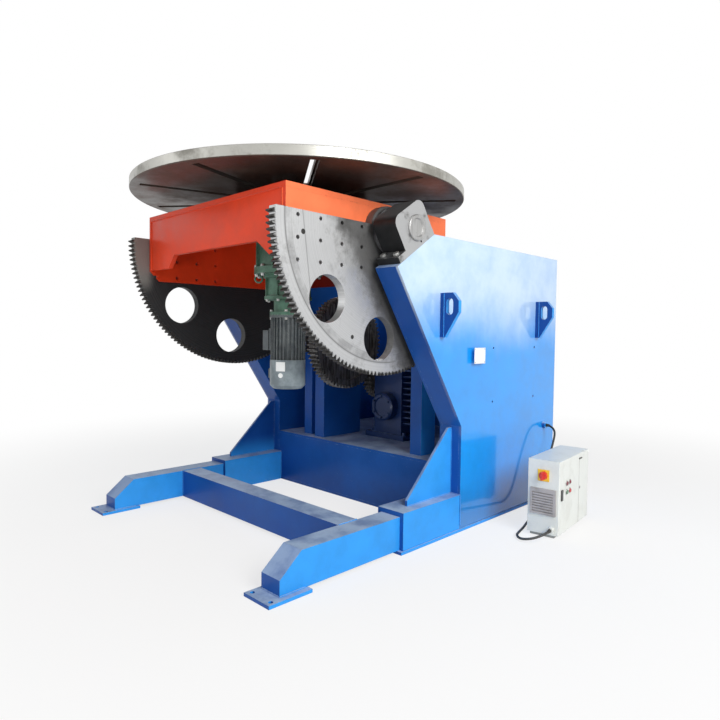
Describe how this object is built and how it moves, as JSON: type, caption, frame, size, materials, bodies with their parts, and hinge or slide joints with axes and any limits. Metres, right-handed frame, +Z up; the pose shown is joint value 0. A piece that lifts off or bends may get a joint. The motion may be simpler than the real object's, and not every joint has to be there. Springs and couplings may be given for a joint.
{
  "type": "welding positioner",
  "caption": "Welding positioner: round T-slot table turning on a gear-driven tilting box between two cheeks, with cabinet.",
  "frame": {"origin": "on the floor, centre of the underside of the base's bottom plate", "axes": "+X along the tilt axis to the right cheek, +Y to the closed back, +Z up and out of the level table"},
  "size_m": [2.4388, 2.5899, 2],
  "materials": {
    "blue_paint": "glossy blue enamel",
    "drive_blue": "dark blue enamel",
    "orange_paint": "glossy orange enamel",
    "sector_steel": "machined, oily",
    "gear_steel": "greased steel",
    "table_steel": "turned and milled",
    "shaft_steel": "ground",
    "bearing_cast": "machined cast iron",
    "zinc_bolts": "zinc plated",
    "reducer_green": "grey-green enamel",
    "motor_grey": "grey enamel",
    "cabinet_grey": "light grey powder coat",
    "cabinet_feet": "rubber",
    "switch_yellow": "moulded",
    "switch_red": "moulded",
    "filter_grey": "moulded grille",
    "latch_black": "moulded",
    "button_green": "moulded",
    "button_red": "moulded"
  },
  "bodies": {
    "base": {"base_plates": "blue_paint", "foot_plates": "blue_paint", "left_leg": "blue_paint", "right_leg": "blue_paint", "cross_beam": "blue_paint", "leg_sleeves": "blue_paint", "sleeve_gussets": "blue_paint", "left_cheek_outer_plate": "blue_paint", "left_cheek_inner_plate": "blue_paint", "left_cheek_edge_plates": "blue_paint", "right_cheek_outer_plate": "blue_paint", "right_cheek_inner_plate": "blue_paint", "right_cheek_edge_plates": "blue_paint", "lifting_lugs": "blue_paint", "front_apron": "blue_paint", "deck_plate": "blue_paint", "rear_panel": "blue_paint", "rear_tie_beam": "blue_paint", "shaft_columns": "blue_paint", "drive_pedestal": "blue_paint", "tilt_gearbox": "drive_blue", "gearbox_front_cover": "drive_blue", "tilt_motor": "drive_blue", "tilt_motor_cowl": "drive_blue", "left_pillow_block": "bearing_cast", "right_pillow_block": "bearing_cast", "shaft_bearings": "bearing_cast", "pillow_bolts": "zinc_bolts", "trunnion_covers": "shaft_steel", "cabinet_body": "cabinet_grey", "cabinet_feet": "cabinet_feet", "isolator_plate": "switch_yellow", "fan_filter": "filter_grey"},
    "tilt_frame": {"frame_front_plate": "orange_paint", "frame_rear_plate": "orange_paint", "frame_side_plates": "orange_paint", "frame_top_plate": "orange_paint", "left_sector_gear": "sector_steel", "right_sector_gear": "sector_steel", "trunnion_shafts": "shaft_steel", "slewing_inner_ring": "gear_steel", "rotation_reducer": "reducer_green", "rotation_motor": "motor_grey", "motor_cowl": "motor_grey", "motor_terminal_box": "motor_grey"},
    "table": {"turntable": "table_steel", "ring_gear": "gear_steel"},
    "drive_pinion": {"rotation_pinion": "gear_steel"},
    "left_shaft": {"left_tilt_shaft": "shaft_steel", "left_tilt_pinion": "gear_steel", "bull_gear": "gear_steel"},
    "right_shaft": {"right_tilt_shaft": "shaft_steel", "right_tilt_pinion": "gear_steel"},
    "gearbox_output": {"gearbox_pinion": "gear_steel"},
    "door": {"cabinet_door": "cabinet_grey"},
    "latch": {"door_latch": "latch_black"},
    "isolator": {"isolator_knob": "switch_red"},
    "start": {"start_button": "button_green"},
    "stop": {"stop_button": "button_red"},
    "jog": {"jog_button": "button_red"}
  },
  "joints": [
    {"name": "tilt", "type": "hinge", "parent": "base", "child": "tilt_frame", "pos_m": [0, -1.01, 1.69], "axis": [1, 0, 0], "range_deg": [0, 90]},
    {"name": "table_turn", "type": "hinge", "parent": "tilt_frame", "child": "table", "pos_m": [0, -1.01, 1.9], "axis": [0, 0, 1], "continuous": true},
    {"name": "drive_pinion_turn", "type": "hinge", "parent": "tilt_frame", "child": "drive_pinion", "pos_m": [0.31766, -1.35911, 1.9], "axis": [0, 0, 1], "continuous": true},
    {"name": "left_shaft_turn", "type": "hinge", "parent": "base", "child": "left_shaft", "pos_m": [-0.5, -0.43087, 1.07329], "axis": [1, 0, 0], "range_deg": [-852, 2]},
    {"name": "right_shaft_turn", "type": "hinge", "parent": "base", "child": "right_shaft", "pos_m": [0.6, -0.43087, 1.07329], "axis": [1, 0, 0], "range_deg": [-852, 2]},
    {"name": "gearbox_output_turn", "type": "hinge", "parent": "base", "child": "gearbox_output", "pos_m": [-0.19, -0.06086, 0.79999], "axis": [1, 0, 0], "range_deg": [-5, 1948]},
    {"name": "cabinet_door_swing", "type": "hinge", "parent": "base", "child": "door", "pos_m": [1.33769, 0.21721, 0.23], "axis": [0, 0, 1], "range_deg": [0, 110]},
    {"name": "door_latch_turn", "type": "hinge", "parent": "door", "child": "latch", "pos_m": [1.38661, -0.24823, 0.245], "axis": [0.9945, 0.1045, 0], "range_deg": [0, 90]},
    {"name": "isolator_turn", "type": "hinge", "parent": "base", "child": "isolator", "pos_m": [1.30254, -0.30935, 0.353], "axis": [0.1045, -0.9945, 0], "range_deg": [0, 90]},
    {"name": "start_button_press", "type": "slide", "parent": "door", "child": "start", "axis": [-0.9945, -0.1045, 0], "range_m": [0, 0.004], "stiffness_N_per_m": 400, "springref_m": -0.002},
    {"name": "stop_button_press", "type": "slide", "parent": "door", "child": "stop", "axis": [-0.9945, -0.1045, 0], "range_m": [0, 0.004], "stiffness_N_per_m": 400, "springref_m": -0.002},
    {"name": "jog_button_press", "type": "slide", "parent": "door", "child": "jog", "axis": [-0.9945, -0.1045, 0], "range_m": [0, 0.004], "stiffness_N_per_m": 400, "springref_m": -0.002}
  ],
  "couplings": [
    {"joint": "drive_pinion_turn", "follows": "table_turn", "ratio": -4.9},
    {"joint": "left_shaft_turn", "follows": "tilt", "ratio": -9.4444},
    {"joint": "right_shaft_turn", "follows": "tilt", "ratio": -9.4444},
    {"joint": "gearbox_output_turn", "follows": "tilt", "ratio": 21.587}
  ]
}
